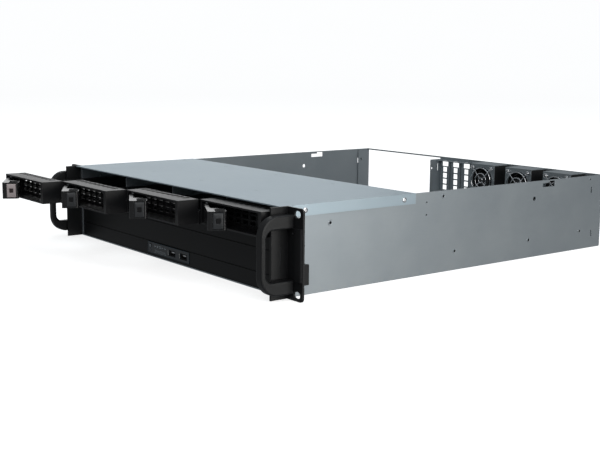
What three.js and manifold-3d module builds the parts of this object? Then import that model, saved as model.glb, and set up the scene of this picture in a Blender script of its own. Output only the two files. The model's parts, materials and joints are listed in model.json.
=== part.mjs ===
// Two-unit, 19-inch rack storage enclosure with four hot-swap drive trays.
//
// Millimetres, +Z up. X runs to the right seen from the front, Y runs to the back.
// The origin is the centre of the underside of the sheet-metal body.
// The trays stand pulled out in a staircase with their levers half open, and the
// rear half of the top is left uncovered.
import * as THREE from 'three';
import { mergeVertices } from 'three/addons/utils/BufferGeometryUtils.js';
import Module from 'manifold-3d';

const wasm = await Module();
wasm.setup();

// ---------------------------------------------------------------- driving sizes
const BODY_WIDTH = 430;
const BODY_DEPTH = 480;
const BODY_HEIGHT = 88;
const FLANGE_WIDTH = 482.6; // over both rack flanges, the 19-inch standard
const SHEET = 1.2; // steel sheet of the body
const GAP = 0.3; // clearance between neighbouring pieces

const HALF = BODY_WIDTH / 2;
const FRONT = -BODY_DEPTH / 2; // front plane of the rack flanges
const BACK = BODY_DEPTH / 2;
const REAR_SHEET = BACK - SHEET; // inner face of the rear panel
const WALL_END = REAR_SHEET - GAP; // where the side walls and the floor stop
const WALL_TOP = 87.6;
const COVERED_TOP = BODY_HEIGHT - SHEET - GAP; // side wall under the cover

// front top cover
const COVER_LENGTH = 165.7;
const COVER_NOSE = 6.8; // how far it reaches in front of the flange plane
const COVER_FLANGE = 11;

// rack ears and D handles
const EAR_INNER = HALF + GAP;
const EAR_SHEET = 2;
const CHEEK_REACH = 19;
const HANDLE_X = [219, 228.5];
const HANDLE_Z = [6.5, 81.5];
const HANDLE_REACH = 37.5;
const HANDLE_LEG = 13;
const HANDLE_BAR = 5.5;

// lower front panel and its status panel
const PANEL_FACE = FRONT + 1;
const PANEL_BACK = FRONT + 3.2;
const PANEL_HALF = 212;
const PANEL_Z = [1.2, 55];
const PANEL_GROOVES = [17.5, 41.7];
const STATUS_X = [-48.3, 41.7];
const STATUS_Z = [3.4, 16.8];
const USB_X = [5.5, 29.5];
const USB_Z = 9.8;
const POWER_AT = { x: -42, z: 12.2, radius: 2.2 };
const RESET_AT = { x: -42, z: 6.8, radius: 1.1 };

// drive bays
const BAY_COUNT = 4;
const BAY_PITCH = 106.2;
const SHELF_Z = [56.9, 57.9];
const CAGE_END = FRONT + 172;
const BACKPLANE_Y = [FRONT + 174, FRONT + 175.6];

// drive trays: how far each front stands before the flange plane, left to right
const TRAY_OUT = [99, 75.4, 51.3, 26];
const BEZEL = { half: 52.4, depth: 24, z: [59.5, 84.1] };
const RECESS = { x: [-50.4, 47.4], z: [61, 82.3], depth: 18.5 };
const WEB_BACK = 21; // rear face of the web behind the recess
const CARRIER_END = 170;
const LEVER_HINGE = { x: -45.9, y: 4.2, pin: 1.5, bore: 1.8, barrel: 4 };
const LEVER = { length: 60, front: -4, back: 14, block: 41, z: [62.4, 80.9] };
const LEVER_REST = THREE.MathUtils.degToRad(28.5);

// rear panel
const PSU_X = [-212, -58.2];
const PSU_TOP = 85.7;
const REAR_FLANGE = 20;
const FLANGE_FOOT = 3.6; // lowest edge of the flanges, clear of a board on the floor
const SLOT_PITCH = 20.32;
const FIRST_SLOT = -47.4;
const FAN_X = [48, 109, 170];
const FAN_Z = 66;
const FAN_HALF = 20;
const FAN_Y = [FRONT + 451, FRONT + 478.4];
const IO_X = [8, 166.75];
const IO_Z = [1.8, 46.2];

// ---------------------------------------------------------------- materials
const finish = (color, roughness, metalness) =>
  new THREE.MeshStandardMaterial({ color, roughness, metalness });
const ZINC = finish(0xa3adb2, 0.42, 0.85);
const COVER_STEEL = finish(0xb2bdc4, 0.45, 0.8);
const BLACK_PAINT = finish(0x1c1c1e, 0.5, 0.1);
const BLACK_PLASTIC = finish(0x151517, 0.45, 0.0);
const GREY_PLASTIC = finish(0x3a3b3e, 0.5, 0.0);
const PALE_PLASTIC = finish(0xb9aeb0, 0.5, 0.0);
const STATUS_GLOSS = finish(0x10161c, 0.2, 0.0);
const BRIGHT_STEEL = finish(0xd6dadd, 0.2, 1.0);
const BOARD_GREEN = finish(0x1f4a35, 0.55, 0.0);

// ---------------------------------------------------------------- solids
// A closed three.js geometry as a solid that can be joined and cut.
function solid(geometry) {
  geometry.deleteAttribute('normal');
  geometry.deleteAttribute('uv');
  const merged = mergeVertices(geometry, 1e-4);
  return new wasm.Manifold(new wasm.Mesh({
    numProp: 3,
    vertProperties: new Float32Array(merged.attributes.position.array),
    triVerts: new Uint32Array(merged.index.array),
  }));
}

function block([x0, x1], [y0, y1], [z0, z1]) {
  const geometry = new THREE.BoxGeometry(x1 - x0, y1 - y0, z1 - z0);
  geometry.translate((x0 + x1) / 2, (y0 + y1) / 2, (z0 + z1) / 2);
  return solid(geometry);
}

// A round bar with its middle at `center`, along 'x', 'y' or 'z'.
function bar(axis, center, radius, length, sides = 12) {
  const geometry = new THREE.CylinderGeometry(radius, radius, length, sides);
  if (axis === 'x') geometry.rotateZ(Math.PI / 2);
  if (axis === 'z') geometry.rotateX(Math.PI / 2);
  geometry.translate(...center);
  return solid(geometry);
}

// Where an outline's own x, y and depth go for a sheet standing across each axis.
const AXES = {
  x: new THREE.Matrix4().makeBasis(
    new THREE.Vector3(0, 1, 0), new THREE.Vector3(0, 0, 1), new THREE.Vector3(1, 0, 0)),
  y: new THREE.Matrix4().makeBasis(
    new THREE.Vector3(1, 0, 0), new THREE.Vector3(0, 0, 1), new THREE.Vector3(0, -1, 0)),
  z: new THREE.Matrix4(),
};

// An outline pulled along an axis between two stations. Across x the outline is
// drawn in (y, z), across y in (x, z) and across z in (x, y).
function prism(shape, axis, [from, to], { bevel = 0, segments = 5 } = {}) {
  const geometry = new THREE.ExtrudeGeometry(shape, {
    depth: to - from - 2 * bevel,
    curveSegments: segments,
    bevelEnabled: bevel > 0,
    bevelThickness: bevel,
    bevelSize: bevel,
    bevelOffset: -bevel,
    bevelSegments: 2,
  });
  geometry.translate(0, 0, bevel);
  geometry.applyMatrix4(AXES[axis]);
  const start = axis === 'y' ? to : from;
  geometry.translate(axis === 'x' ? start : 0, axis === 'y' ? start : 0, axis === 'z' ? start : 0);
  return solid(geometry);
}

// A flat sheet of the given outline, with each of its holes cut right through.
function sheet(shape, axis, [from, to], options) {
  const holes = shape.holes;
  shape.holes = [];
  return cut(
    prism(shape, axis, [from, to], options),
    ...holes.map((hole) => prism(hole, axis, [from - 1, to + 1], { segments: 3 })));
}

const polygon = (points) => new THREE.Shape(points.map(([a, b]) => new THREE.Vector2(a, b)));
const rectangle = ([a0, a1], [b0, b1]) => polygon([[a0, b0], [a1, b0], [a1, b1], [a0, b1]]);

function circle(a, b, radius, sides = 12) {
  const angles = Array.from({ length: sides }, (_, i) => (i / sides) * 2 * Math.PI);
  return polygon(angles.map((t) => [a + radius * Math.cos(t), b + radius * Math.sin(t)]));
}

// A slot with round ends, `length` overall along its first axis.
function slot(a, b, length, width) {
  const r = width / 2;
  const reach = length / 2 - r;
  const shape = new THREE.Shape();
  shape.absarc(a + reach, b, r, -Math.PI / 2, Math.PI / 2);
  shape.absarc(a - reach, b, r, Math.PI / 2, 3 * Math.PI / 2);
  return shape;
}

const around = (middle, size) => [middle - size / 2, middle + size / 2];
const sided = (side, [a, b]) => (side > 0 ? [a, b] : [-b, -a]);
const join = (...solids) => solids.reduce((all, next) => all.add(next));
const cut = (base, ...tools) => tools.reduce((rest, tool) => rest.subtract(tool), base);

const enclosure = new THREE.Group();

// Adds a solid to a group as a named sub-part.
function place(name, body, material, group = enclosure) {
  const { vertProperties, triVerts } = body.getMesh();
  const geometry = new THREE.BufferGeometry();
  geometry.setAttribute('position', new THREE.BufferAttribute(vertProperties, 3));
  geometry.setIndex(new THREE.BufferAttribute(triVerts, 1));
  geometry.computeVertexNormals();
  const mesh = new THREE.Mesh(geometry, material);
  mesh.name = name;
  group.add(mesh);
}

// ---------------------------------------------------------------- body
// Side wall outline in (y, z), stepped down where the top cover lies over it,
// with the cover hook cut-out, the slide-rail holes and the rear screw slots.
function sideWall(side) {
  const step = FRONT + COVER_LENGTH + GAP;
  const wall = polygon([[FRONT, 0], [WALL_END, 0], [WALL_END, WALL_TOP], [step, WALL_TOP],
    [step, COVERED_TOP], [FRONT, COVERED_TOP]]);
  const hook = { y0: FRONT + 368.5, step: FRONT + 379, y1: FRONT + 390, z0: 79.7, low: 84.3, high: 86.3 };
  wall.holes.push(
    polygon([[hook.y0, hook.z0], [hook.y1, hook.z0], [hook.y1, hook.high],
      [hook.step, hook.high], [hook.step, hook.low], [hook.y0, hook.low]]),
    circle(FRONT + 355, 67.5, 2.6),
    rectangle(around(FRONT + 459.5, 2.2), [66.4, 73.8]),
    rectangle(around(FRONT + 463, 2.2), [13.5, 20.9]));
  return sheet(wall, 'x', sided(side, [HALF - SHEET, HALF]));
}

function chassisTray() {
  const floor = block([-HALF, HALF], [FRONT, WALL_END], [0, SHEET]);
  const frontWall = cut(
    block([-HALF, HALF], [FRONT + 3.8, FRONT + 5], [0, 53]),
    block([-46, 40], [FRONT + 3, FRONT + 6], [4, 16]));
  const lip = (side) => block(sided(side, [HALF - 2.6, HALF]), [FRONT, FRONT + SHEET], [0, COVERED_TOP]);
  return join(floor, frontWall, sideWall(1), sideWall(-1), lip(1), lip(-1));
}

function frontTopCover() {
  const outer = EAR_INNER + SHEET;
  const shoulder = FRONT + EAR_SHEET + GAP;
  const rear = FRONT + COVER_LENGTH;
  const top = polygon([[-HALF + 0.5, FRONT - COVER_NOSE], [HALF - 0.5, FRONT - COVER_NOSE],
    [HALF - 0.5, shoulder], [outer, shoulder], [outer, rear], [-outer, rear],
    [-outer, shoulder], [-HALF + 0.5, shoulder]]);
  const flange = (side) => block(sided(side, [EAR_INNER, outer]), [shoulder, rear],
    [BODY_HEIGHT - COVER_FLANGE, BODY_HEIGHT - SHEET / 2]);
  return join(sheet(top, 'z', [BODY_HEIGHT - SHEET, BODY_HEIGHT]), flange(1), flange(-1));
}

// Rear panel with the power supply opening and its two forward flanges, three
// expansion slots, three fan holes and the connector aperture.
function rearPanel() {
  const through = [REAR_SHEET - 1, BACK + 1];
  const panel = cut(
    block([-HALF, HALF], [REAR_SHEET, BACK], [0, WALL_TOP]),
    block(PSU_X, through, [2, PSU_TOP]),
    block(IO_X, through, IO_Z),
    ...FAN_X.map((x) => bar('y', [x, BACK, FAN_Z], 18.5, 6, 20)),
    ...[0, 1, 2].map((i) => block(around(FIRST_SLOT + i * SLOT_PITCH, 13), through, [8, 82.4])));
  const flangeY = [REAR_SHEET - REAR_FLANGE, REAR_SHEET + SHEET / 2];
  const left = rectangle(flangeY, [FLANGE_FOOT, 85]);
  left.holes.push(circle(FRONT + 464, 72, 1.8));
  const right = rectangle(flangeY, [FLANGE_FOOT, 84.2]);
  right.holes.push(circle(FRONT + 461.5, 72, 1.6), rectangle(around(FRONT + 473, 1.8), [68.2, 78]));
  return join(
    panel,
    sheet(left, 'x', [PSU_X[0] - SHEET, PSU_X[0]]),
    sheet(right, 'x', [PSU_X[1], PSU_X[1] + SHEET]));
}

// Vented blank for one expansion slot, with a tab folded forward at the top.
function slotCover(x) {
  const blank = rectangle(around(x, 18.4), [4, 83.4]);
  blank.holes.push(rectangle(around(x, 12.4), [75, 81.4]));
  for (let row = 0; row < 7; row += 1) {
    const z = 66.9 - row * 8.4;
    blank.holes.push(rectangle(around(x, 7.7), [z, z + 6.7]));
  }
  const face = [REAR_SHEET - GAP - 1, REAR_SHEET - GAP];
  return join(sheet(blank, 'y', face), block(around(x, 18.4), [face[1] - 9, face[1]], [82.4, 83.4]));
}

// ---------------------------------------------------------------- ears and handles
// Rack ear: flange with two rack slots, cheek standing forward beside the trays,
// raised pad between the slots and a foot behind that holds it to the side wall.
function ear(side) {
  const edge = FLANGE_WIDTH / 2;
  const corner = 4;
  const outline = new THREE.Shape();
  outline.moveTo(EAR_INNER, 0);
  outline.lineTo(edge - corner, 0);
  outline.absarc(edge - corner, corner, corner, -Math.PI / 2, 0);
  outline.absarc(edge - corner, BODY_HEIGHT - corner, corner, 0, Math.PI / 2);
  outline.lineTo(EAR_INNER, BODY_HEIGHT);
  const holes = [5.95, 82.15].map((z) => slot(side * 232.5, z, 10, 6.8));
  const points = outline.extractPoints(4).shape.map((p) => [side * p.x, p.y]);
  const flange = polygon(points);
  flange.holes.push(...holes);
  const pad = polygon([[229.6, FRONT + 0.5], [229.6, FRONT - 0.6], [230.8, FRONT - 1.6],
    [239.1, FRONT - 1.6], [240.3, FRONT - 0.6], [240.3, FRONT + 0.5]].map(([x, y]) => [side * x, y]));
  return join(
    sheet(flange, 'y', [FRONT, FRONT + EAR_SHEET], { segments: 3 }),
    block(sided(side, [EAR_INNER, EAR_INNER + EAR_SHEET]), [FRONT - CHEEK_REACH, FRONT + 1], [0, BODY_HEIGHT]),
    sheet(pad, 'z', [19, 69]),
    block(sided(side, [EAR_INNER, EAR_INNER + 3]), [FRONT + 1, FRONT + 25.5], [10, 30]));
}

// D handle: two deep legs and a slim grip bar, standing on the flange.
function handle(side) {
  const outerR = 19;
  const innerR = 8;
  const [low, high] = HANDLE_Z;
  const rear = FRONT - GAP;
  const nose = FRONT - HANDLE_REACH;
  const grip = nose + HANDLE_BAR;
  const shape = new THREE.Shape();
  shape.moveTo(rear, low);
  shape.lineTo(rear, low + HANDLE_LEG);
  shape.absarc(grip + innerR, low + HANDLE_LEG + innerR, innerR, -Math.PI / 2, -Math.PI, true);
  shape.absarc(grip + innerR, high - HANDLE_LEG - innerR, innerR, Math.PI, Math.PI / 2, true);
  shape.lineTo(rear, high - HANDLE_LEG);
  shape.lineTo(rear, high);
  shape.absarc(nose + outerR, high - outerR, outerR, Math.PI / 2, Math.PI);
  shape.absarc(nose + outerR, low + outerR, outerR, Math.PI, 3 * Math.PI / 2);
  return sheet(shape, 'x', sided(side, HANDLE_X), { bevel: 1.5, segments: 6 });
}

// ---------------------------------------------------------------- front panel
// Lower front panel: a folded profile with two long grooves and a top return.
function frontPanel() {
  const groove = { half: 0.45, depth: 1.1 };
  const face = [[PANEL_FACE, PANEL_Z[0]]];
  for (const z of PANEL_GROOVES) {
    face.push([PANEL_FACE, z - groove.half], [PANEL_FACE + groove.depth, z - groove.half],
      [PANEL_FACE + groove.depth, z + groove.half], [PANEL_FACE, z + groove.half]);
  }
  const back = [[PANEL_FACE, PANEL_Z[1]], [FRONT + 10, PANEL_Z[1]], [FRONT + 10, PANEL_Z[1] - 1.2],
    [PANEL_BACK, PANEL_Z[1] - 1.2], [PANEL_BACK, PANEL_Z[0]]];
  return cut(
    sheet(polygon([...face, ...back]), 'x', [-PANEL_HALF, PANEL_HALF]),
    block(STATUS_X, [FRONT, FRONT + 5], STATUS_Z));
}

function statusPanel() {
  const inset = 0.4;
  const plate = rectangle([STATUS_X[0] + inset, STATUS_X[1] - inset], [STATUS_Z[0] + inset, STATUS_Z[1] - inset]);
  plate.holes.push(
    circle(POWER_AT.x, POWER_AT.z, POWER_AT.radius + GAP),
    circle(RESET_AT.x, RESET_AT.z, RESET_AT.radius + GAP),
    ...USB_X.map((x) => rectangle(around(x, 14), around(USB_Z, 6.8))));
  return sheet(plate, 'y', [FRONT + 0.7, FRONT + 3]);
}

// USB receptacle: a thin dark shell, open to the front, with its contact tongue.
function usbPort(x) {
  const depth = [FRONT + 1.4, FRONT + 13.8];
  const shell = cut(
    block(around(x, 13.2), depth, around(USB_Z, 5.9)),
    block(around(x, 12.4), [FRONT, depth[1] - 0.6], around(USB_Z, 5.1)));
  const tongue = block(around(x, 10.8), [FRONT + 2.4, depth[1] - 0.3], [USB_Z + 0.1, USB_Z + 1.9]);
  return join(shell, tongue);
}

const frontIoBoard = () => block([-45, 39], [FRONT + 14.2, FRONT + 15.8], [3, 17]);

const pushButton = ({ x, z, radius }) =>
  bar('y', [x, FRONT + 3.8, z], radius, 7, 12);

// ---------------------------------------------------------------- drive cage
const bayCenter = (bay) => (bay - (BAY_COUNT - 1) / 2) * BAY_PITCH;

const CAGE_HALF = HALF - SHEET - 0.4;

const cageShelf = () => block([-CAGE_HALF, CAGE_HALF], [FRONT + 10.6, CAGE_END], SHELF_Z);

const cageSide = (side) =>
  block(sided(side, [CAGE_HALF - 0.8, CAGE_HALF]), [FRONT + 26, CAGE_END], [SHELF_Z[1] + GAP, 86.2]);

// Upright sheet between two bays, with its rear corner cut back for cables.
function bayDivider(x) {
  const low = SHELF_Z[1] + GAP;
  const outline = polygon([[FRONT + 5.5, low], [CAGE_END, low], [CAGE_END, 76],
    [CAGE_END - 10, 86], [FRONT + 12, 86], [FRONT + 5.5, 83]]);
  return sheet(outline, 'x', around(x, 0.8));
}

// Drive connector board with an air window above each connector.
function backplaneBoard() {
  const board = rectangle([-212, 212], [58.4, 85.4]);
  for (let bay = 0; bay < BAY_COUNT; bay += 1) {
    board.holes.push(rectangle(around(bayCenter(bay) + 4, 78), [71, 82]));
  }
  return sheet(board, 'y', BACKPLANE_Y);
}

// Drive connector: a block with the long contact slot and its short key slot.
function driveConnector(bay) {
  const x = bayCenter(bay) - 18;
  const front = BACKPLANE_Y[0] - 4.4;
  return cut(
    block(around(x, 42), [front, BACKPLANE_Y[0] - GAP], [61, 68]),
    block(around(x, 38), [front - 1, front + 3], [63.4, 65.2]));
}

// ---------------------------------------------------------------- drive tray
// Bezel, drawn about the bay's centre line with its front face at y = 0: a deep
// finger recess in front, a vented web behind it and shallow grooves along the top.
function trayBezel() {
  const { half, depth, z } = BEZEL;
  const shell = cut(
    block([-half, half], [0, depth], z),
    block(RECESS.x, [-1, RECESS.depth], RECESS.z),
    block([-50.9, 50.9], [WEB_BACK, depth + 1], [60.4, 82]));
  const tools = [-1, 1].map((end) =>
    bar('z', [LEVER_HINGE.x, LEVER_HINGE.y, end > 0 ? 82.3 : 61], LEVER_HINGE.bore, 2.4, 8));
  for (let column = 0; column < 7; column += 1) {
    for (const row of [66, 71.65, 77.3]) {
      tools.push(block(around(-39 + column * 13, 9.4), [RECESS.depth - 1, WEB_BACK + 1], around(row, 3.8)));
    }
  }
  for (let index = 0; index < 9; index += 1) {
    tools.push(block(around(-46 + index * 10.4, 6), [14.5, 22.6], [z[1] - 1.1, z[1] + 1]));
  }
  return cut(shell, ...tools);
}

// Moulded carrier that holds the drive: floor with two windows, low sides and a
// front cross-piece against the bezel.
function trayCarrier() {
  const outer = 52.1;
  const start = BEZEL.depth + GAP;
  const floor = rectangle([-outer, outer], [start, CARRIER_END]);
  floor.holes.push(rectangle([-38, 38], [44, 92]), rectangle([-38, 38], [104, 154]));
  const sideOutline = polygon([[start, 58.5], [CARRIER_END, 58.5], [CARRIER_END, 66],
    [CARRIER_END - 6, 72], [start, 72]]);
  const side = (s) => sheet(sideOutline, 'x', sided(s, [outer - 0.8, outer]));
  const front = block([-outer, outer], [start, start + 0.8], [58.5, 66]);
  return join(sheet(floor, 'z', [58.5, 59.3]), side(1), side(-1), front);
}

// Lever in plan, about its own hinge axis, lying along +x when shut: a hinge
// barrel, a slim arm and a thick tip with the pocket of the release button.
function lever() {
  const { length, front, back, block: tip, z } = LEVER;
  const round = 2.5;
  const { barrel, bore } = LEVER_HINGE;
  const shape = new THREE.Shape();
  shape.moveTo(0, front);
  shape.absarc(length - round, front + round, round, -Math.PI / 2, 0);
  shape.absarc(length - round, back - round, round, 0, Math.PI / 2);
  shape.lineTo(tip + 3, back);
  shape.lineTo(tip, back - 3);
  shape.lineTo(tip - 5, front + 4);
  shape.lineTo(9, front + 4);
  shape.absarc(0, 0, barrel, Math.PI / 3, 3 * Math.PI / 2);
  return cut(
    sheet(shape, 'z', z, { segments: 4 }),
    bar('z', [0, 0, (z[0] + z[1]) / 2], bore, 30, 8),
    block([50, length + 1], [0.7, 11.3], [63.6, 79.7]));
}

// Release button in the lever's tip.
const releaseButton = () => block([53, LEVER.length + 0.6], [1, 11], [63.9, 79.4]);

const leverPin = () =>
  bar('z', [LEVER_HINGE.x, LEVER_HINGE.y, (RECESS.z[0] + RECESS.z[1]) / 2],
    LEVER_HINGE.pin, RECESS.z[1] - RECESS.z[0] + 1.6, 8);

function addTray(bay) {
  const number = bay + 1;
  const tray = new THREE.Group();
  tray.position.set(bayCenter(bay), FRONT - TRAY_OUT[bay], 0);
  place(`tray_bezel_${number}`, trayBezel(), BLACK_PLASTIC, tray);
  place(`tray_carrier_${number}`, trayCarrier(), BLACK_PLASTIC, tray);
  place(`lever_pin_${number}`, leverPin(), BRIGHT_STEEL, tray);
  const swing = new THREE.Group();
  swing.position.set(LEVER_HINGE.x, LEVER_HINGE.y, 0);
  swing.rotation.z = -LEVER_REST;
  place(`tray_lever_${number}`, lever(), BLACK_PLASTIC, swing);
  place(`release_button_${number}`, releaseButton(), bay === 0 ? PALE_PLASTIC : GREY_PLASTIC, swing);
  tray.add(swing);
  enclosure.add(tray);
}

// ---------------------------------------------------------------- fans
// Square fan housing with a round bore and its motor mount on three rear struts.
function fanBody(x) {
  const housing = cut(
    block(around(x, 2 * FAN_HALF), FAN_Y, around(FAN_Z, 2 * FAN_HALF)),
    bar('y', [x, (FAN_Y[0] + FAN_Y[1]) / 2, FAN_Z], 18.7, 40, 24));
  const back = [FAN_Y[1] - 3, FAN_Y[1]];
  const struts = [0, 1, 2].map((i) => {
    const geometry = new THREE.BoxGeometry(20, back[1] - back[0], 2.4);
    geometry.translate(10, 0, 0);
    geometry.rotateY(i * 2 * Math.PI / 3 + 0.5);
    geometry.translate(x, (back[0] + back[1]) / 2, FAN_Z);
    return solid(geometry);
  });
  return join(housing, bar('y', [x, FAN_Y[1] - 1.5, FAN_Z], 9.6, 3, 16), ...struts);
}

// Rotor: hub with five pitched blades.
function fanRotor(x) {
  const y = [FAN_Y[0] + 1.5, FAN_Y[1] - 3.6];
  const middle = (y[0] + y[1]) / 2;
  const blades = [0, 1, 2, 3, 4].map((i) => {
    const geometry = new THREE.BoxGeometry(10, 1.2, 15);
    geometry.rotateX(THREE.MathUtils.degToRad(48));
    geometry.translate(12.8, 0, 0);
    geometry.rotateY(i * 2 * Math.PI / 5);
    geometry.translate(x, middle, FAN_Z);
    return solid(geometry);
  });
  return join(bar('y', [x, middle, FAN_Z], 9.4, y[1] - y[0], 16), ...blades);
}

const PLATE_Y = [FAN_Y[0] - 1.5, FAN_Y[0] - 0.5];

// Steel plate in front of a fan, with a top return that runs back to the panel.
function fanBracket(x) {
  const half = 21;
  const plate = rectangle(around(x, 2 * half), [45, 87]);
  plate.holes.push(circle(x, FAN_Z, 17.2, 24));
  return join(
    sheet(plate, 'y', PLATE_Y),
    block(around(x, 2 * half), [PLATE_Y[0], FAN_Y[1]], [86.3, 87.2]));
}

// Wire guard: two rings on a diagonal cross that reaches the fan's corner holes.
function fanGuard(x) {
  const wire = 1.5;
  const front = [PLATE_Y[0] - 0.5 - 2 * wire, PLATE_Y[0] - 0.5 - wire + 0.3];
  const rear = [front[1] - 0.3, front[1] - 0.3 + wire];
  const ring = (radius) => {
    const shape = circle(x, FAN_Z, radius + wire / 2, 18);
    shape.holes.push(circle(x, FAN_Z, radius - wire / 2, 18));
    return sheet(shape, 'y', front);
  };
  const strut = (angle) => {
    const geometry = new THREE.BoxGeometry(45, rear[1] - rear[0], wire);
    geometry.rotateY(angle);
    geometry.translate(x, (rear[0] + rear[1]) / 2, FAN_Z);
    return solid(geometry);
  };
  return join(strut(Math.PI / 4), strut(-Math.PI / 4), ring(16), ring(9));
}

// ---------------------------------------------------------------- assembly
place('chassis_tray', chassisTray(), ZINC);
place('rear_panel', rearPanel(), ZINC);
place('front_top_cover', frontTopCover(), COVER_STEEL);
for (const [label, side] of [['left', -1], ['right', 1]]) {
  place(`rack_ear_${label}`, ear(side), BLACK_PAINT);
  place(`handle_${label}`, handle(side), BLACK_PAINT);
  place(`cage_side_${label}`, cageSide(side), ZINC);
}
place('front_panel', frontPanel(), BLACK_PAINT);
place('status_panel', statusPanel(), STATUS_GLOSS);
place('front_io_board', frontIoBoard(), BOARD_GREEN);
place('power_button', pushButton(POWER_AT), GREY_PLASTIC);
place('reset_button', pushButton(RESET_AT), GREY_PLASTIC);
USB_X.forEach((x, i) => place(`usb_port_${i + 1}`, usbPort(x), GREY_PLASTIC));
place('cage_shelf', cageShelf(), ZINC);
place('backplane_board', backplaneBoard(), BOARD_GREEN);
for (let bay = 0; bay < BAY_COUNT; bay += 1) {
  if (bay > 0) place(`bay_divider_${bay}`, bayDivider((bayCenter(bay - 1) + bayCenter(bay)) / 2), ZINC);
  place(`drive_connector_${bay + 1}`, driveConnector(bay), BLACK_PLASTIC);
  addTray(bay);
}
for (let i = 0; i < 3; i += 1) {
  place(`slot_cover_${i + 1}`, slotCover(FIRST_SLOT + i * SLOT_PITCH), ZINC);
  place(`fan_body_${i + 1}`, fanBody(FAN_X[i]), BLACK_PLASTIC);
  place(`fan_rotor_${i + 1}`, fanRotor(FAN_X[i]), BLACK_PLASTIC);
  place(`fan_bracket_${i + 1}`, fanBracket(FAN_X[i]), ZINC);
  place(`fan_guard_${i + 1}`, fanGuard(FAN_X[i]), BRIGHT_STEEL);
}

export default enclosure;
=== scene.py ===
"""The looks of a two-unit rack storage enclosure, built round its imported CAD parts.

Metres, in the CAD frame: X to the right seen from the front, Y to the back, Z up, and the
origin in the middle of the underside of the body. Small places are given in millimetres,
Y from the front of the rack flanges and Z from the underside.
"""

import json
import math
import random

import bmesh
import bpy
from mathutils import Matrix, Vector


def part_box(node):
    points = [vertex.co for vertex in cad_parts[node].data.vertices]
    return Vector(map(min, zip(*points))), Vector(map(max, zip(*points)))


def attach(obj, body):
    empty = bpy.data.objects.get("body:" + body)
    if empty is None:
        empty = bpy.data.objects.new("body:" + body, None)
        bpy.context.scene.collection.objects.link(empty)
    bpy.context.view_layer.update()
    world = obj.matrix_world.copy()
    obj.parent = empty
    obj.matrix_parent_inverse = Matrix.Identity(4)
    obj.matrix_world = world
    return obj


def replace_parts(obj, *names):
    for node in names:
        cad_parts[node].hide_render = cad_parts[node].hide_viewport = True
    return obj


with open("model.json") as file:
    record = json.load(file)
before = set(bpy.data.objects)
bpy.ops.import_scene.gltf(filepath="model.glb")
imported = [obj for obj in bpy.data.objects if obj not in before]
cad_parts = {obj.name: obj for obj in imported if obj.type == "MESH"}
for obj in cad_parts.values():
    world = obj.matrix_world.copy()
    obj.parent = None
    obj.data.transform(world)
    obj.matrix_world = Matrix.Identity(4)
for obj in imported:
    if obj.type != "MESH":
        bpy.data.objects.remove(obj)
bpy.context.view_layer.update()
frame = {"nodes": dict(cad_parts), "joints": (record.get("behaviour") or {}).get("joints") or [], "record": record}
random.seed(7)

MM = 0.001
X, Y, Z = Vector((1, 0, 0)), Vector((0, 1, 0)), Vector((0, 0, 1))
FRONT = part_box("chassis_tray")[0].y
SIDES = {"left": -1, "right": 1}
BAYS = (1, 2, 3, 4)
FANS = (1, 2, 3)


def middle(node):
    lo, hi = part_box(node)
    return (lo + hi) / 2


DIVIDERS = [middle(f"bay_divider_{number}").x for number in (1, 2, 3)]
CHEEK_FACE = 217.3  # outer face of each ear's cheek, in millimetres from the middle
EAR_REAR = 2.0  # rear face of the flanges, in millimetres behind their front
FLOOR_LEVEL = 1.2  # top of the body's floor, in millimetres
FAN_HOLE = 16  # from a fan's middle to its screws, across and up
STANDOFFS_ACROSS = (-58, 50, 160)
STANDOFFS_BEFORE_REAR = (10.2, 165.1, 232.5)


def measured(x, y, z):
    """A point from millimetres: across, back from the flange plane, and up."""
    return Vector((x * MM, FRONT + y * MM, z * MM))


# ------------------------------------------------------------------ materials
class Graph:
    """The node tree of one new material."""

    def __init__(self, name):
        self.material = bpy.data.materials.new(name)
        self.material.use_nodes = True
        self.tree = self.material.node_tree
        self.tree.nodes.clear()

    def add(self, kind, inputs=None, **settings):
        """Adds a node. An input given as a socket is joined, and anything else is its value."""
        node = self.tree.nodes.new(kind)
        for key, value in settings.items():
            setattr(node, key, value)
        for key, value in (inputs or {}).items():
            if isinstance(value, bpy.types.NodeSocket):
                self.tree.links.new(value, node.inputs[key])
            else:
                node.inputs[key].default_value = value
        return node

    def blend(self, factor, first, second):
        """The colour between two, first where the factor is 0."""
        return self.add("ShaderNodeMix", {0: factor, 6: first, 7: second}, data_type="RGBA").outputs[2]

    def ramp(self, value, low, high, to_low, to_high):
        return self.add("ShaderNodeMapRange", {
            "Value": value, "From Min": low, "From Max": high, "To Min": to_low, "To Max": to_high,
        }).outputs[0]


def colour(red, green, blue):
    return (red, green, blue, 1.0)


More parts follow.
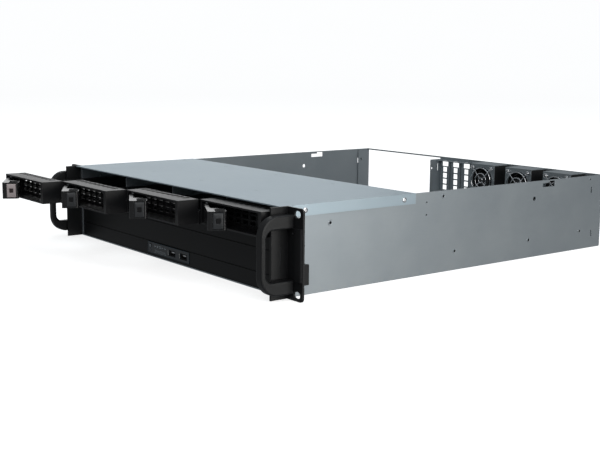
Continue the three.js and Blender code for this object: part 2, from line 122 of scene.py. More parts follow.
def finish(name, base, accent, *, rough, metallic=0.0, specular=0.5, mottle=14, grain=900,
           cells=False, stretch=(1, 1, 1), relief=0.015, spread=0.06, edge=None, round_edge=0.25,
           coat=0.0, glow=0.0):
    """A surface with blotchy colour, a fine grain in its gloss and height, and soft edges painted in the lighter
    edge colour as a painted highlight.
    """
    graph = Graph(name)
    place = graph.add("ShaderNodeTexCoord").outputs["Object"]
    blotches = graph.add("ShaderNodeTexNoise", {"Vector": place, "Scale": mottle, "Detail": 5})
    along = graph.add("ShaderNodeMapping", {"Vector": place, "Scale": stretch}).outputs[0]
    if cells:
        fine = graph.add("ShaderNodeTexVoronoi", {"Vector": along, "Scale": grain}).outputs["Distance"]
    else:
        fine = graph.add("ShaderNodeTexNoise", {"Vector": along, "Scale": grain, "Detail": 3}).outputs[0]
    tint = graph.blend(graph.ramp(blotches.outputs[0], 0.3, 0.7, 0, 1), colour(*base), colour(*accent))
    soft = graph.add("ShaderNodeBevel", {"Radius": round_edge * MM}, samples=4).outputs[0]
    flat = graph.add("ShaderNodeNewGeometry").outputs["True Normal"]
    turned = graph.add(
        "ShaderNodeVectorMath", {0: soft, 1: flat}, operation="DOT_PRODUCT").outputs["Value"]
    # Painted highlight: where the rounded normal turns away from the true one, the colour is blended to the
    # lighter edge colour.
    edge_highlight = graph.ramp(turned, 0.995, 0.8, 0, 1)
    tint = graph.blend(edge_highlight, tint, colour(*(edge or accent)))
    gloss = graph.ramp(fine, 0, 1, rough - spread, rough + spread)
    height = graph.add("ShaderNodeBump", {
        "Height": fine, "Strength": 0.5, "Distance": relief * MM, "Normal": soft,
    }).outputs[0]
    shader = graph.add("ShaderNodeBsdfPrincipled", {
        "Base Color": tint, "Roughness": gloss, "Metallic": metallic, "Normal": height,
        "Specular IOR Level": specular, "Coat Weight": coat, "Coat Roughness": 0.08,
        "Emission Color": colour(*base), "Emission Strength": glow,
    })
    graph.add("ShaderNodeOutputMaterial", {"Surface": shader.outputs[0]})
    return graph.material


def board_finish(name):
    """Green solder mask over straight copper tracks."""
    graph = Graph(name)
    place = graph.add("ShaderNodeTexCoord").outputs["Object"]
    tracks = graph.add("ShaderNodeTexBrick", {
        "Vector": place, "Scale": 160, "Mortar Size": 0.07, "Brick Width": 2.6, "Row Height": 0.32,
        "Color1": colour(1, 1, 1), "Color2": colour(1, 1, 1), "Mortar": colour(0, 0, 0),
    })
    speckle = graph.add("ShaderNodeTexNoise", {"Vector": place, "Scale": 400, "Detail": 4}).outputs[0]
    mask = graph.blend(speckle, colour(0.010, 0.075, 0.035), colour(0.016, 0.110, 0.052))
    copper = graph.ramp(tracks.outputs["Fac"], 0, 1, 0, 0.75)
    tint = graph.blend(copper, mask, colour(0.045, 0.19, 0.085))
    height = graph.add("ShaderNodeBump", {
        "Height": tracks.outputs["Fac"], "Strength": 0.4, "Distance": 0.03 * MM,
    }).outputs[0]
    shader = graph.add("ShaderNodeBsdfPrincipled", {
        "Base Color": tint, "Roughness": graph.ramp(speckle, 0, 1, 0.25, 0.45), "Normal": height,
    })
    graph.add("ShaderNodeOutputMaterial", {"Surface": shader.outputs[0]})
    return graph.material


# The edge colour of each finish here and below is its painted edge highlight.
FINISH = {
    "zinc_steel": finish(
        "zinc steel sheet", (0.40, 0.44, 0.465), (0.355, 0.395, 0.425), rough=0.44, metallic=0.8,
        mottle=22, grain=700, stretch=(1, 0.12, 1), relief=0.012, edge=(0.60, 0.64, 0.67)),
    # Painted light: the cover's base is paler and bluer than the wall zinc, standing in for the cool top light it
    # catches.
    "cover_steel": finish(
        "zinc steel sheet painted paler for top light", (0.44, 0.53, 0.585), (0.41, 0.50, 0.56), rough=0.46, metallic=0.75,
        mottle=9, grain=700, stretch=(0.12, 1, 1), relief=0.010, edge=(0.66, 0.70, 0.73)),
    "black_paint": finish(
        "black powder coat", (0.0085, 0.009, 0.010), (0.011, 0.0115, 0.0125), rough=0.42, specular=0.3,
        grain=1500, cells=True, relief=0.03, edge=(0.03, 0.031, 0.034), round_edge=0.5),
    "front_black": finish(
        "satin black panel", (0.008, 0.0084, 0.009), (0.0098, 0.0103, 0.011), rough=0.40, specular=0.18,
        mottle=6, grain=1800, cells=True, relief=0.012, edge=(0.022, 0.024, 0.027)),
    "tray_black": finish(
        "moulded black plastic", (0.008, 0.008, 0.009), (0.011, 0.011, 0.012), rough=0.40, specular=0.5,
        grain=2200, cells=True, relief=0.02, edge=(0.035, 0.036, 0.04), round_edge=0.35),
    "lever_black": finish(
        "smooth black plastic", (0.009, 0.009, 0.010), (0.012, 0.012, 0.013), rough=0.22, specular=0.5,
        grain=1200, relief=0.006, spread=0.05, edge=(0.03, 0.031, 0.034), round_edge=0.35),
    "button_grey": finish(
        "dark grey plastic", (0.022, 0.024, 0.027), (0.028, 0.030, 0.033), rough=0.42, grain=2000,
        cells=True, edge=(0.06, 0.063, 0.068), round_edge=0.3),
    # Painted reflection: a paler, pinkish copy of the grey button plastic, for bay 1's button, which catches the
    # light.
    "button_pale": finish(
        "button plastic with painted pink reflection", (0.42, 0.36, 0.365), (0.47, 0.41, 0.41), rough=0.38, grain=2000,
        cells=True, edge=(0.58, 0.52, 0.52), round_edge=0.3),
    "status_gloss": finish(
        "glossy blue-black plastic", (0.006, 0.011, 0.016), (0.008, 0.014, 0.021), rough=0.14,
        specular=0.45, mottle=40, grain=500, relief=0.003, spread=0.03, edge=(0.05, 0.10, 0.14), coat=0.3),
    "key_grey": finish(
        "smoked key plastic", (0.03, 0.036, 0.042), (0.04, 0.047, 0.054), rough=0.3, grain=1800,
        edge=(0.09, 0.10, 0.11)),
    "bright_steel": finish(
        "bright plated steel", (0.72, 0.73, 0.75), (0.64, 0.65, 0.67), rough=0.22, metallic=1.0,
        grain=1600, stretch=(1, 1, 0.1), relief=0.004, spread=0.07, edge=(0.86, 0.86, 0.87)),
    "guard_wire": finish(
        "chromed wire", (0.80, 0.80, 0.82), (0.72, 0.72, 0.74), rough=0.14, metallic=1.0,
        mottle=60, grain=1400, relief=0.003, spread=0.05, edge=(0.85, 0.85, 0.86)),
    "circuit_board": board_finish("green circuit board"),
    "connector_black": finish(
        "connector plastic", (0.013, 0.013, 0.014), (0.018, 0.018, 0.019), rough=0.45, grain=1600,
        cells=True, edge=(0.045, 0.045, 0.047)),
    "fan_black": finish(
        "glass-filled black plastic", (0.010, 0.010, 0.011), (0.014, 0.014, 0.015), rough=0.48,
        grain=1700, cells=True, relief=0.02, edge=(0.04, 0.04, 0.042)),
}
BRASS = finish("turned brass", (0.62, 0.44, 0.16), (0.55, 0.38, 0.13), rough=0.3, metallic=1.0,
               grain=1400, stretch=(1, 1, 0.1), relief=0.004, edge=(0.8, 0.62, 0.3))
GOLD = finish("gold contact", (0.78, 0.56, 0.20), (0.70, 0.49, 0.17), rough=0.25, metallic=1.0,
              grain=1500, relief=0.003, edge=(0.9, 0.7, 0.35))
LEGEND = finish("pale legend ink", (0.56, 0.62, 0.66), (0.48, 0.55, 0.60), rough=0.45, grain=2500,
                relief=0.004)
OUTLINE = finish("dark blue outline ink", (0.012, 0.035, 0.055), (0.016, 0.045, 0.07), rough=0.4,
                 grain=2500, relief=0.004)
# Painted shade: the dark discs in the hollows of the wall screws and marks.
PAINTED_HOLE_SHADE = finish("unlit hole", (0.010, 0.011, 0.012), (0.015, 0.016, 0.018), rough=0.7, specular=0.1,
                   grain=1600)
DARK_STEEL = finish("blackened steel", (0.05, 0.052, 0.056), (0.04, 0.042, 0.046), rough=0.35,
                    metallic=0.9, grain=1500, edge=(0.11, 0.115, 0.12))
PAD = finish("rough black grip", (0.004, 0.004, 0.0045), (0.006, 0.006, 0.0065), rough=0.75,
             specular=0.12, grain=2200, cells=True, relief=0.03)
BLACK_INSET = finish("black inset", (0.005, 0.005, 0.006), (0.008, 0.008, 0.009), rough=0.5,
                     specular=0.2, grain=1800, cells=True)
BADGE = finish("dark hub film", (0.03, 0.031, 0.034), (0.04, 0.041, 0.045), rough=0.4,
               mottle=80, grain=1200, relief=0.003)
WHITE_PLUG = finish("white connector plastic", (0.72, 0.71, 0.67), (0.66, 0.65, 0.61), rough=0.45,
                    grain=1500, cells=True, edge=(0.82, 0.81, 0.78))
# Painted reflection: a lighter, reddish copy of the black inset, for bay 1's button.
PAINTED_PINK_INSET = finish("inset with painted pink reflection", (0.020, 0.010, 0.011), (0.028, 0.013, 0.014), rough=0.5,
                    grain=1800, cells=True)

for part in frame["record"]["subparts"]:
    seat = frame["nodes"][part["node"]].material_slots[0]
    seat.link = "OBJECT"
    seat.material = FINISH[part["material_slot"]]


# ------------------------------------------------------------------ mesh helpers
def facing(at, out):
    """A frame at a point, with its Z along the direction out."""
    return Matrix.Translation(at) @ out.to_track_quat("Z", "Y").to_matrix().to_4x4()


def circle(radius, z, sides=24):
    """A level ring of points, in millimetres."""
    turns = [2 * math.pi * i / sides for i in range(sides)]
    return [Vector((radius * math.cos(a), radius * math.sin(a), z)) for a in turns]


def rounded(width, depth, corner, z, steps=3):
    """A level rounded rectangle of points, in millimetres."""
    points = []
    for quarter, (sx, sy) in enumerate(((1, 1), (-1, 1), (-1, -1), (1, -1))):
        for step in range(steps + 1):
            a = math.pi / 2 * (quarter + step / steps)
            points.append(Vector((sx * (width / 2 - corner) + corner * math.cos(a),
                                  sy * (depth / 2 - corner) + corner * math.sin(a), z)))
    return points


def add_stack(bm, at, loops):
    """Adds a closed skin over level loops, the first lowest. `at` places their millimetres."""
    rows = [[bm.verts.new(at @ (point * MM)) for point in loop] for loop in loops]
    for low, high in zip(rows, rows[1:]):
        for i in range(len(low)):
            j = (i + 1) % len(low)
            bm.faces.new((low[i], low[j], high[j], high[i]))
    bm.faces.new(rows[0][::-1])
    bm.faces.new(rows[-1])


def add_block(bm, at, width, depth, height, corner=0.4, top=0.25):
    """Adds a block with round corners and a softened top."""
    add_stack(bm, at, [
        rounded(width, depth, corner, 0),
        rounded(width, depth, corner, height - top),
        rounded(width - 2 * top, depth - 2 * top, max(corner - top, 0.05), height)])


def add_head(bm, at, radius, height):
    """Adds a pan head with a cross recess."""
    def crossed(loop):
        arm = 0.13 * radius
        return [p - Z * 0.6 * height if min(abs(p.x), abs(p.y)) < arm else p for p in loop]
    add_stack(bm, at, [
        circle(radius, 0), circle(radius, 0.45 * height), circle(0.92 * radius, 0.78 * height),
        circle(0.75 * radius, 0.94 * height), circle(0.56 * radius, height),
        crossed(circle(0.46 * radius, height)), crossed(circle(0.3 * radius, height)),
        crossed(circle(0.15 * radius, height))])


def add_dimple(bm, at, radius, height):
    """Adds a low pressed ring with a sunk middle, as round a weld or a flush screw."""
    add_stack(bm, at, [
        circle(radius, 0), circle(0.88 * radius, height), circle(0.62 * radius, height),
        circle(0.42 * radius, 0.35 * height), circle(0.12 * radius, 0.3 * height)])


def piece(name, bm, body, slot=None, material=None):
    """Makes a piece from a bmesh. It rides on a body and takes the record's finish, or its own."""
    mesh = bpy.data.meshes.new(name)
    bm.normal_update()
    bm.to_mesh(mesh)
    bm.free()
    mesh.polygons.foreach_set("use_smooth", [True] * len(mesh.polygons))
    mesh.set_sharp_from_angle(angle=math.radians(35))
    mesh.materials.append(material or FINISH[slot])
    obj = bpy.data.objects.new(name, mesh)
    bpy.context.scene.collection.objects.link(obj)
    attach(obj, body)
    return obj


def wire(name, routes, radius, body, slot):
    """Makes round wire along each route, given as (points, closed)."""
    curve = bpy.data.curves.new(name, "CURVE")
    curve.dimensions = "3D"
    curve.bevel_depth = radius * MM
    curve.bevel_resolution = 3
    curve.use_fill_caps = True
    curve.materials.append(FINISH[slot])
    for points, closed in routes:
        spline = curve.splines.new("POLY")
        spline.points.add(len(points) - 1)
        for target, point in zip(spline.points, points):
            target.co = (*point, 1)
        spline.use_cyclic_u = closed
        spline.use_smooth = True
    obj = bpy.data.objects.new(name, curve)
    bpy.context.scene.collection.objects.link(obj)
    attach(obj, body)
    return obj


# ------------------------------------------------------------------ body fasteners
COVER_SCREWS = [(21.4, 82.5), (149.5, 82.3)]
WALL_SCREWS = [(53.6, 67.3), (207.3, 81.7), (226.6, 20.9), (347.2, 20.7), (439.6, 22.1)]
WALL_MARKS = [(21.8, 48), (183, 77.1), (183, 63.9), (456.2, 83.3)]


def wall_face(side, node):
    """The outer face of a part on one side of the body."""
    lo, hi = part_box(node)
    return hi.x if side > 0 else lo.x


def body_fasteners():
    """Cover screws, flush screws and small pressed marks on both sides of the body, with dark discs of painted
    shade in the middles of the flush screws and marks.
    """
    for label, side in SIDES.items():
        out = X * side
        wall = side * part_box("chassis_tray")[1].x
        flange = wall_face(side, "front_top_cover")
        screws, flush, marks, shade_discs = (bmesh.new() for _ in range(4))
        for y, z in COVER_SCREWS:
            add_head(screws, facing(Vector((flange, FRONT + y * MM, z * MM)), out), 2.7, 1.1)
        for y, z in WALL_SCREWS:
            at = facing(Vector((wall, FRONT + y * MM, z * MM)), out)
            add_dimple(flush, at, 2.7, 0.45)
            # A dark disc of painted shade in the hollow.
            add_stack(shade_discs, at, [circle(1.5, 0), circle(1.45, 0.5)])
        for y, z in WALL_MARKS:
            at = facing(Vector((wall, FRONT + y * MM, z * MM)), out)
            add_dimple(marks, at, 1.7, 0.3)
            # A dark disc of painted shade in the hollow.
            add_stack(shade_discs, at, [circle(0.95, 0), circle(0.9, 0.34)])
        piece(f"cover_screws_{label}", screws, "chassis", "bright_steel")
        piece(f"wall_screws_{label}", flush, "chassis", "zinc_steel")
        piece(f"wall_marks_{label}", marks, "chassis", "zinc_steel")
        piece(f"wall_shade_discs_{label}", shade_discs, "chassis", material=PAINTED_HOLE_SHADE)


def cover_welds():
    """Pressed rings in the cover over each bay divider."""
    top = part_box("front_top_cover")[1].z
    marks = bmesh.new()
    for x in DIVIDERS + [0.206, -0.206]:
        for y in (43.5, 147):
            add_dimple(marks, facing(Vector((x, FRONT + y * MM, top)), Z), 2.6, 0.12)
    piece("cover_welds", marks, "chassis", "cover_steel")


def ear_fasteners():
    """The screw, the handle's rear screws, the rib and the edge strip of each ear."""
    for label, side in SIDES.items():
        back_face = FRONT + EAR_REAR * MM
        small, rear, strip, rib = (bmesh.new() for _ in range(4))
        add_head(small, facing(measured(side * 227.2, 0, 64), -Y), 1.6, 0.9)
        grip = middle(f"handle_{label}").x
        for z in (13, 75):
            add_head(rear, facing(Vector((grip, back_face, z * MM)), Y), 3.4, 2.0)
        cheek = side * CHEEK_FACE
        add_block(strip, facing(measured(cheek, -8, 41.5), X * side), 0.9, 17, 0.3, 0.3, 0.1)
        add_block(rib, facing(measured(cheek, -13.8, 44), X * side), 10.4, 48, 0.65, 0.5, 0.2)
        piece(f"cheek_rib_{label}", rib, "chassis", "black_paint")
        piece(f"ear_screw_{label}", small, "chassis", material=DARK_STEEL)
        piece(f"handle_screws_{label}", rear, "chassis", "bright_steel")
        piece(f"cheek_strip_{label}", strip, "chassis", material=DARK_STEEL)


def floor_fittings():
    """Board standoffs, each on a pressed ring in the floor."""
    level = FLOOR_LEVEL * MM
    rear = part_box("rear_panel")[0].y
    posts, rings = bmesh.new(), bmesh.new()
    for x in STANDOFFS_ACROSS:
        for back in STANDOFFS_BEFORE_REAR:
            at = Vector((x * MM, rear - back * MM, level))
            add_stack(posts, facing(at, Z), [
                circle(3.4, 0, 6), circle(3.4, 5.6, 6), circle(3.0, 6, 6), circle(1.5, 6, 6),
                circle(1.4, 2, 6)])
            add_dimple(rings, facing(at, Z), 4.6, 0.3)
    piece("board_standoffs", posts, "chassis", material=BRASS)
    piece("standoff_rings", rings, "chassis", "zinc_steel")


# ------------------------------------------------------------------ status panel
def status_legends():
    """Plain lamp symbols, a dot grid under them, and a fine line round the panel."""
    lo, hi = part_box("status_panel")
    face = lo.y
    ink = bmesh.new()

    def stroke(x, z, width, height, thick=0.06):
        at = facing(Vector((x * MM, face, z * MM)), -Y)
        add_stack(ink, at, [rounded(width, height, 0.1, 0), rounded(width, height, 0.1, thick)])

    for i, x in enumerate((-31, -25.6, -20.2, -14.8, -9.4)):
        bars = 1 + i % 3
        for bar in range(bars):
            stroke(x, 12.6 + (bar - (bars - 1) / 2) * 0.95, 2.4, 0.5)
        stroke(x - 1.35, 12.6, 0.4, 2.6)
    for column in range(12):
        for row in range(3):
            stroke(-31.5 + column * 2.05, 5.6 + row * 1.3, 0.9, 0.45)
    piece("status_legends", ink, "chassis", material=LEGEND)
    ink = bmesh.new()
    for node in ("usb_port_1", "usb_port_2"):
        stroke(middle(node).x / MM - 8.4, 9.8, 0.5, 5.4)
    piece("status_bars", ink, "chassis", material=WHITE_PLUG)
    edge = bmesh.new()
    width, height = (hi.x - lo.x) / MM, (hi.z - lo.z) / MM
    at = facing(Vector(((lo.x + hi.x) / 2, face - 0.02 * MM, (lo.z + hi.z) / 2)), -Y)
    outer = [rounded(width, height, 0.8, z) for z in (0, 0.15)]
    inner = [rounded(width - 0.9, height - 0.9, 0.5, z) for z in (0.15, 0)]
    add_band(edge, at, outer + inner)
    piece("status_outline", edge, "chassis", material=OUTLINE)


def add_band(bm, at, loops):
    """Adds a closed ring-shaped skin: the last loop joins the first."""
    rows = [[bm.verts.new(at @ (point * MM)) for point in loop] for loop in loops]
    for low, high in zip(rows, rows[1:] + rows[:1]):
        for i in range(len(low)):
            j = (i + 1) % len(low)
            bm.faces.new((low[i], low[j], high[j], high[i]))


def key_symbols():
    """The open ring and bar on the power key, and the dot on the reset key."""
    lo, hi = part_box("power_button")
    at = facing(Vector(((lo.x + hi.x) / 2, lo.y, (lo.z + hi.z) / 2)), -Y)
    mark = bmesh.new()
    ring = [circle(1.35, 0), circle(1.35, 0.08), circle(1.0, 0.08), circle(1.0, 0)]
    add_band(mark, at, ring)
    add_stack(mark, at @ Matrix.Translation((0, 0.9 * MM, 0)), [
        rounded(0.45, 1.5, 0.1, 0), rounded(0.45, 1.5, 0.1, 0.1)])
    piece("power_symbol", mark, "power_key", material=LEGEND)
    lo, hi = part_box("reset_button")
    dot = bmesh.new()
    at = facing(Vector(((lo.x + hi.x) / 2, lo.y, (lo.z + hi.z) / 2)), -Y)
    add_stack(dot, at, [circle(0.5, 0), circle(0.45, 0.08)])
    piece("reset_symbol", dot, "reset_key", material=LEGEND)


def usb_contacts():
    """Four contact strips under each tongue, and the bright cap on its front."""
    for number in (1, 2):
        lo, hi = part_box(f"usb_port_{number}")
        x, z = (lo.x + hi.x) / 2, (lo.z + hi.z) / 2
        strips = bmesh.new()
        for i in range(4):
            at = Vector((x + (i - 1.5) * 2.3 * MM, lo.y + 5.5 * MM, z + 0.1 * MM))
            add_block(strips, facing(at, -Z), 1.2, 7, 0.12, 0.2, 0.05)
        piece(f"usb_contacts_{number}", strips, "chassis", material=GOLD)
        nose = bmesh.new()
        add_block(nose, facing(Vector((x, lo.y + 1 * MM, z + 1 * MM)), -Y), 5.4, 1.3, 0.3, 0.2, 0.1)
        piece(f"usb_tongue_cap_{number}", nose, "chassis", "bright_steel")


# ------------------------------------------------------------------ trays
JOINTS = {joint["name"]: joint for joint in frame["joints"]}


def release_buttons():
    """Moulded button caps with a square sunk mark, in place of the plain CAD blocks."""
    for bay in BAYS:
        node = f"release_button_{bay}"
        # Bay 1's paler button finish is a painted reflection.
        slot = "button_pale" if bay == 1 else "button_grey"
        out = -Vector(JOINTS[f"release_{bay}_press"]["axis"]).normalized()
        across = Z.cross(out)
        turn = Matrix((across, Z, out)).transposed().to_4x4()
        corners = [v.co for v in frame["nodes"][node].data.vertices]
        spans = [[axis.dot(corner) for corner in corners] for axis in (across, Z, out)]
        width, height, depth = [(max(s) - min(s)) / MM for s in spans]
        at = Matrix.Translation(middle(node) - out * depth * MM / 2) @ turn
        cap = bmesh.new()
        add_stack(cap, at, [
            rounded(width, height, 0.5, 0), rounded(width, height, 0.5, depth - 0.6),
            rounded(width - 0.5, height - 0.5, 0.6, depth - 0.15),
            rounded(width - 1.1, height - 1.1, 0.7, depth), rounded(5.0, 5.4, 0.5, depth),
            rounded(4.7, 5.1, 0.4, depth - 0.7)])
        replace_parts(piece(f"button_cap_{bay}", cap, f"latch_{bay}", slot), node)
        inset = bmesh.new()
        sunk = at @ Matrix.Translation((0, 0, (depth - 0.69) * MM))
        add_block(inset, sunk, 4.3, 4.7, 0.3, 0.4, 0.15)
        # Bay 1's lighter inset goes with that painted reflection.
        shade = PAINTED_PINK_INSET if bay == 1 else BLACK_INSET
        piece(f"button_inset_{bay}", inset, f"latch_{bay}", material=shade)


def lever_pads():
    """A rough grip on the rear part of each lever's thick tip."""
    for bay in BAYS:
        hinge = middle(f"lever_pin_{bay}")
        out = -Vector(JOINTS[f"release_{bay}_press"]["axis"]).normalized()
        across = Z.cross(out)
        spot = hinge + out * 51.5 * MM + across * 8.2 * MM
        spot.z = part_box(f"tray_lever_{bay}")[1].z
        at = Matrix.Translation(spot) @ Matrix((out, across, Z)).transposed().to_4x4()
        pad = bmesh.new()
        add_block(pad, at, 14.6, 9.6, 0.35, 1.0, 0.12)
        piece(f"lever_pad_{bay}", pad, f"lever_{bay}", material=PAD)


def drive_screws():
    """Countersunk drive screws in the sides of each carrier."""
    for bay in BAYS:
        lo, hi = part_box(f"tray_carrier_{bay}")
        heads = bmesh.new()
        for x, out in ((lo.x, -X), (hi.x, X)):
            for back in (28, 129):
                add_dimple(heads, facing(Vector((x, lo.y + back * MM, lo.z + 6.4 * MM)), out), 2.6, 0.2)
        piece(f"drive_screws_{bay}", heads, f"tray_{bay}", "bright_steel")


# ------------------------------------------------------------------ backplane
def backplane_parts():
    """Sockets, chips and capacitors on the rear of the drive connector board."""
    lo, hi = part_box("backplane_board")
    rear = hi.y
    sockets, plugs, chips, caps = (bmesh.new() for _ in range(4))
    for bay in BAYS:
        x = middle(f"tray_carrier_{bay}").x
        at = Vector((x - 0.018, rear, lo.z + 6 * MM))
        add_stack(sockets, facing(at, Y), [
            rounded(16, 5.4, 0.4, 0), rounded(16, 5.4, 0.4, 8.2), rounded(13.6, 3.2, 0.3, 8.2),
            rounded(13.4, 3.0, 0.3, 3)])
        for i in range(3):
            spot = Vector((x + (0.004 + 0.011 * i), rear, lo.z + (3.6 + 4 * random.random()) * MM))
            add_block(chips, facing(spot, Y), 4 + 2 * random.random(), 3.2, 1.1, 0.2, 0.1)
    for x in (-0.045, 0.060):
        at = Vector((x, rear, lo.z + 6.2 * MM))
        add_stack(plugs, facing(at, Y), [
            rounded(21, 7.4, 0.8, 0), rounded(21, 7.4, 0.8, 7), rounded(18.6, 5.2, 1.4, 7),
            rounded(18.4, 5.0, 1.4, 2)])
        for offset in (-0.016, 0.016):
            spot = Vector((x + offset, rear, lo.z + 7 * MM))
            add_stack(caps, facing(spot, Y), [
                circle(3.1, 0), circle(3.1, 0.8), circle(2.8, 1.2), circle(3.1, 1.6), circle(3.1, 6.6),
                circle(2.8, 7), circle(2.2, 6.9)])
    piece("backplane_sockets", sockets, "chassis", "connector_black")
    piece("backplane_power_sockets", plugs, "chassis", material=WHITE_PLUG)
    piece("backplane_chips", chips, "chassis", "connector_black")
    piece("backplane_capacitors", caps, "chassis", "fan_black")


# ------------------------------------------------------------------ fans and rear
def fan_fittings():
    """Wire guards in place of the plain CAD ones, fan screws, and a film disc on each hub."""
    for fan in FANS:
        centre = middle(f"fan_body_{fan}")
        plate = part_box(f"fan_bracket_{fan}")[0].y
        wire_y = plate - 1.5 * MM

        def point(radius, angle, y=wire_y, offset=(0, 0)):
            return Vector((centre.x + offset[0] * MM + radius * MM * math.cos(angle), y,
                           centre.z + offset[1] * MM + radius * MM * math.sin(angle)))

        turns = [2 * math.pi * i / 48 for i in range(48)]
        ring_y = wire_y - 1.2 * MM
        routes = [([point(radius, a, ring_y) for a in turns], True) for radius in (16.5, 9.2, 3.2)]
        for sx in (-1, 1):
            for sz in (-1, 1):
                eye = (sx * FAN_HOLE, sz * FAN_HOLE)
                angle = math.atan2(sz, sx)
                routes.append(([point(2.5, a, wire_y, eye) for a in turns], True))
                reach = math.hypot(*eye) - 2.4
                routes.append(([point(3.2, angle), point(reach, angle)], False))
        guard = wire(f"wire_guard_{fan}", routes, 0.65, "chassis", "guard_wire")
        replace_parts(guard, f"fan_guard_{fan}")
        screws, rear = bmesh.new(), bmesh.new()
        for sx in (-1, 1):
            for sz in (-1, 1):
                at = Vector((centre.x + sx * FAN_HOLE * MM, plate, centre.z + sz * FAN_HOLE * MM))
                add_head(screws, facing(at, -Y), 1.9, 2.6)
                at = Vector((at.x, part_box("rear_panel")[1].y - 0.9 * MM, at.z))
                add_dimple(rear, facing(at, Y), 2.6, 0.9)
        piece(f"fan_screws_{fan}", screws, "chassis", "bright_steel")
        piece(f"fan_rear_screws_{fan}", rear, "chassis", "zinc_steel")
        lo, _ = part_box(f"fan_rotor_{fan}")
        badge = bmesh.new()
        at = facing(Vector((centre.x, lo.y, centre.z)), -Y)
        add_stack(badge, at, [circle(7.6, 0, 40), circle(7.6, 0.1, 40), circle(5.8, 0.12, 40),
                              circle(5.6, 0.05, 40), circle(2.0, 0.05, 40)])
        piece(f"rotor_badge_{fan}", badge, f"rotor_{fan}", material=BADGE)


def rear_fittings():
    """Screws on the slot covers, and the small welds at the edges of the rear panel."""
    screws = bmesh.new()
    for number in (1, 2, 3):
        lo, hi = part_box(f"slot_cover_{number}")
        at = Vector(((lo.x + hi.x) / 2 + 5 * MM, hi.y - 5.4 * MM, hi.z - 0.05 * MM))
        add_head(screws, facing(at, Z), 2.9, 0.6)
    piece("blank_cover_screws", screws, "chassis", "bright_steel")
    edge = bmesh.new()
    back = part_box("rear_panel")[1].y
    for x, z in ((-213.6, 6), (-213.6, 80), (213.0, 24), (213.0, 80)):
        add_dimple(edge, facing(Vector((x * MM, back - 0.3 * MM, z * MM)), Y), 1.3, 0.3)
    piece("rear_edge_welds", edge, "chassis", "zinc_steel")


body_fasteners()
cover_welds()
ear_fasteners()
floor_fittings()
status_legends()
key_symbols()
usb_contacts()
release_buttons()
lever_pads()
drive_screws()
backplane_parts()
fan_fittings()
rear_fittings()


# ------------------------------------------------------------------ stage
def backdrop():
    """A pale round floor that curves up into a wall on every side."""
    bm = bmesh.new()
    floor_radius, bend, wall = 5.0, 1.5, 3.0
    rim = [(floor_radius + bend * math.sin(a), bend * (1 - math.cos(a)))
           for a in (math.pi / 2 * i / 12 for i in range(13))]
    profile = [(0.02, 0)] + rim + [(floor_radius + bend, wall + bend)]
    loops = [circle(r / MM, z / MM, 96) for r, z in profile]
    rows = [[bm.verts.new(point * MM) for point in loop] for loop in loops]
    for low, high in zip(rows, rows[1:]):
        for i in range(len(low)):
            j = (i + 1) % len(low)
            bm.faces.new((low[i], high[i], high[j], low[j]))
    bm.faces.new(rows[0][::-1])
    bmesh.ops.recalc_face_normals(bm, faces=bm.faces)
    mesh = bpy.data.meshes.new("backdrop")
    bm.to_mesh(mesh)
    bm.free()
    mesh.polygons.foreach_set("use_smooth", [True] * len(mesh.polygons))
    obj = bpy.data.objects.new("backdrop", mesh)
    bpy.context.scene.collection.objects.link(obj)
    obj.location.z = -0.0005
    obj.visible_diffuse = False
    obj.visible_glossy = False
    obj.visible_shadow = False
    graph = Graph("matt white backdrop")
    place = graph.add("ShaderNodeTexCoord").outputs["Object"]
    cloud = graph.add("ShaderNodeTexNoise", {"Vector": place, "Scale": 3, "Detail": 3}).outputs[0]
    tint = graph.blend(cloud, colour(0.94, 0.94, 0.94), colour(0.97, 0.97, 0.97))
    shader = graph.add("ShaderNodeBsdfPrincipled", {
        "Base Color": tint, "Roughness": 0.9, "Specular IOR Level": 0.0,
        "Emission Color": colour(1, 1, 1), "Emission Strength": 0.75,
    })
    graph.add("ShaderNodeOutputMaterial", {"Surface": shader.outputs[0]})
    mesh.materials.append(graph.material)


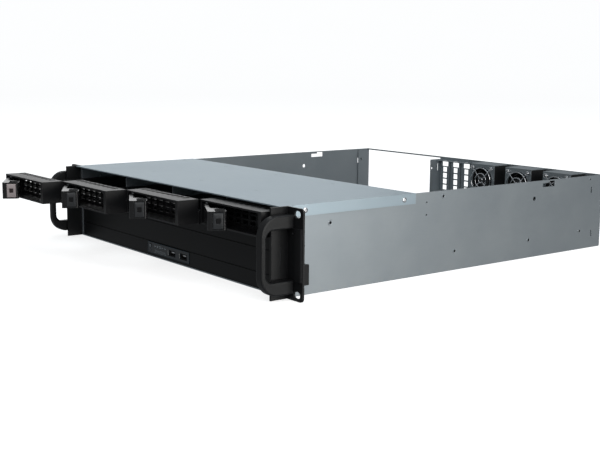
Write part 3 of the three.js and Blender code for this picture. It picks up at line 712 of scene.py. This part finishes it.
def lamp(name, at, target, size, power, tint=(1, 1, 1)):
    """A square soft light aimed at a point."""
    data = bpy.data.lights.new(name, "AREA")
    data.shape = "SQUARE"
    data.size = size
    data.energy = power
    data.color = tint
    obj = bpy.data.objects.new(name, data)
    obj.location = at
    obj.rotation_euler = (Vector(target) - Vector(at)).to_track_quat("-Z", "Y").to_euler()
    bpy.context.scene.collection.objects.link(obj)


def studio():
    """A dim cool surround and four soft lights."""
    world = bpy.data.worlds.new("studio")
    world.use_nodes = True
    background = world.node_tree.nodes["Background"]
    background.inputs["Color"].default_value = (0.93, 0.97, 1.0, 1.0)
    background.inputs["Strength"].default_value = 0.24
    bpy.context.scene.world = world
    lamp("key", (1.3, -1.2, 1.0), (0.2, -0.15, 0.05), 1.0, 6.5)
    lamp("side", (1.2, 0.0, 0.2), (0.2, -0.1, 0.04), 0.8, 7.5, (1.0, 0.985, 0.95))
    lamp("top", (0.1, 0.2, 2.2), (0, 0, 0), 2.0, 10.5, (0.86, 0.96, 1.0))
    lamp("rim", (-2.1, 1.05, 0.55), (0, -0.2, 0.05), 1.6, 8)
    bpy.context.scene.view_settings.view_transform = "Standard"


CAMERA_AT = (0.9750, -0.8114, 0.2252)
YAW, PITCH, ROLL = 52.27, 9.26, 0.51
LENS = 61.88


def camera():
    """The camera, from a heading, a tilt down and a roll, all in degrees."""
    yaw, pitch, roll = map(math.radians, (YAW, PITCH, ROLL))
    ahead = Vector((-math.sin(yaw) * math.cos(pitch), math.cos(yaw) * math.cos(pitch), -math.sin(pitch)))
    level = ahead.cross(Z).normalized()
    upright = level.cross(ahead)
    right = math.cos(roll) * level + math.sin(roll) * upright
    up = math.cos(roll) * upright - math.sin(roll) * level
    data = bpy.data.cameras.new("camera")
    data.lens = LENS
    data.sensor_width = 36
    data.clip_start = 0.05
    obj = bpy.data.objects.new("camera", data)
    turn = Matrix((right, up, -ahead)).transposed().to_4x4()
    obj.matrix_world = Matrix.Translation(CAMERA_AT) @ turn
    bpy.context.scene.collection.objects.link(obj)
    bpy.context.scene.camera = obj


backdrop()
studio()
camera()
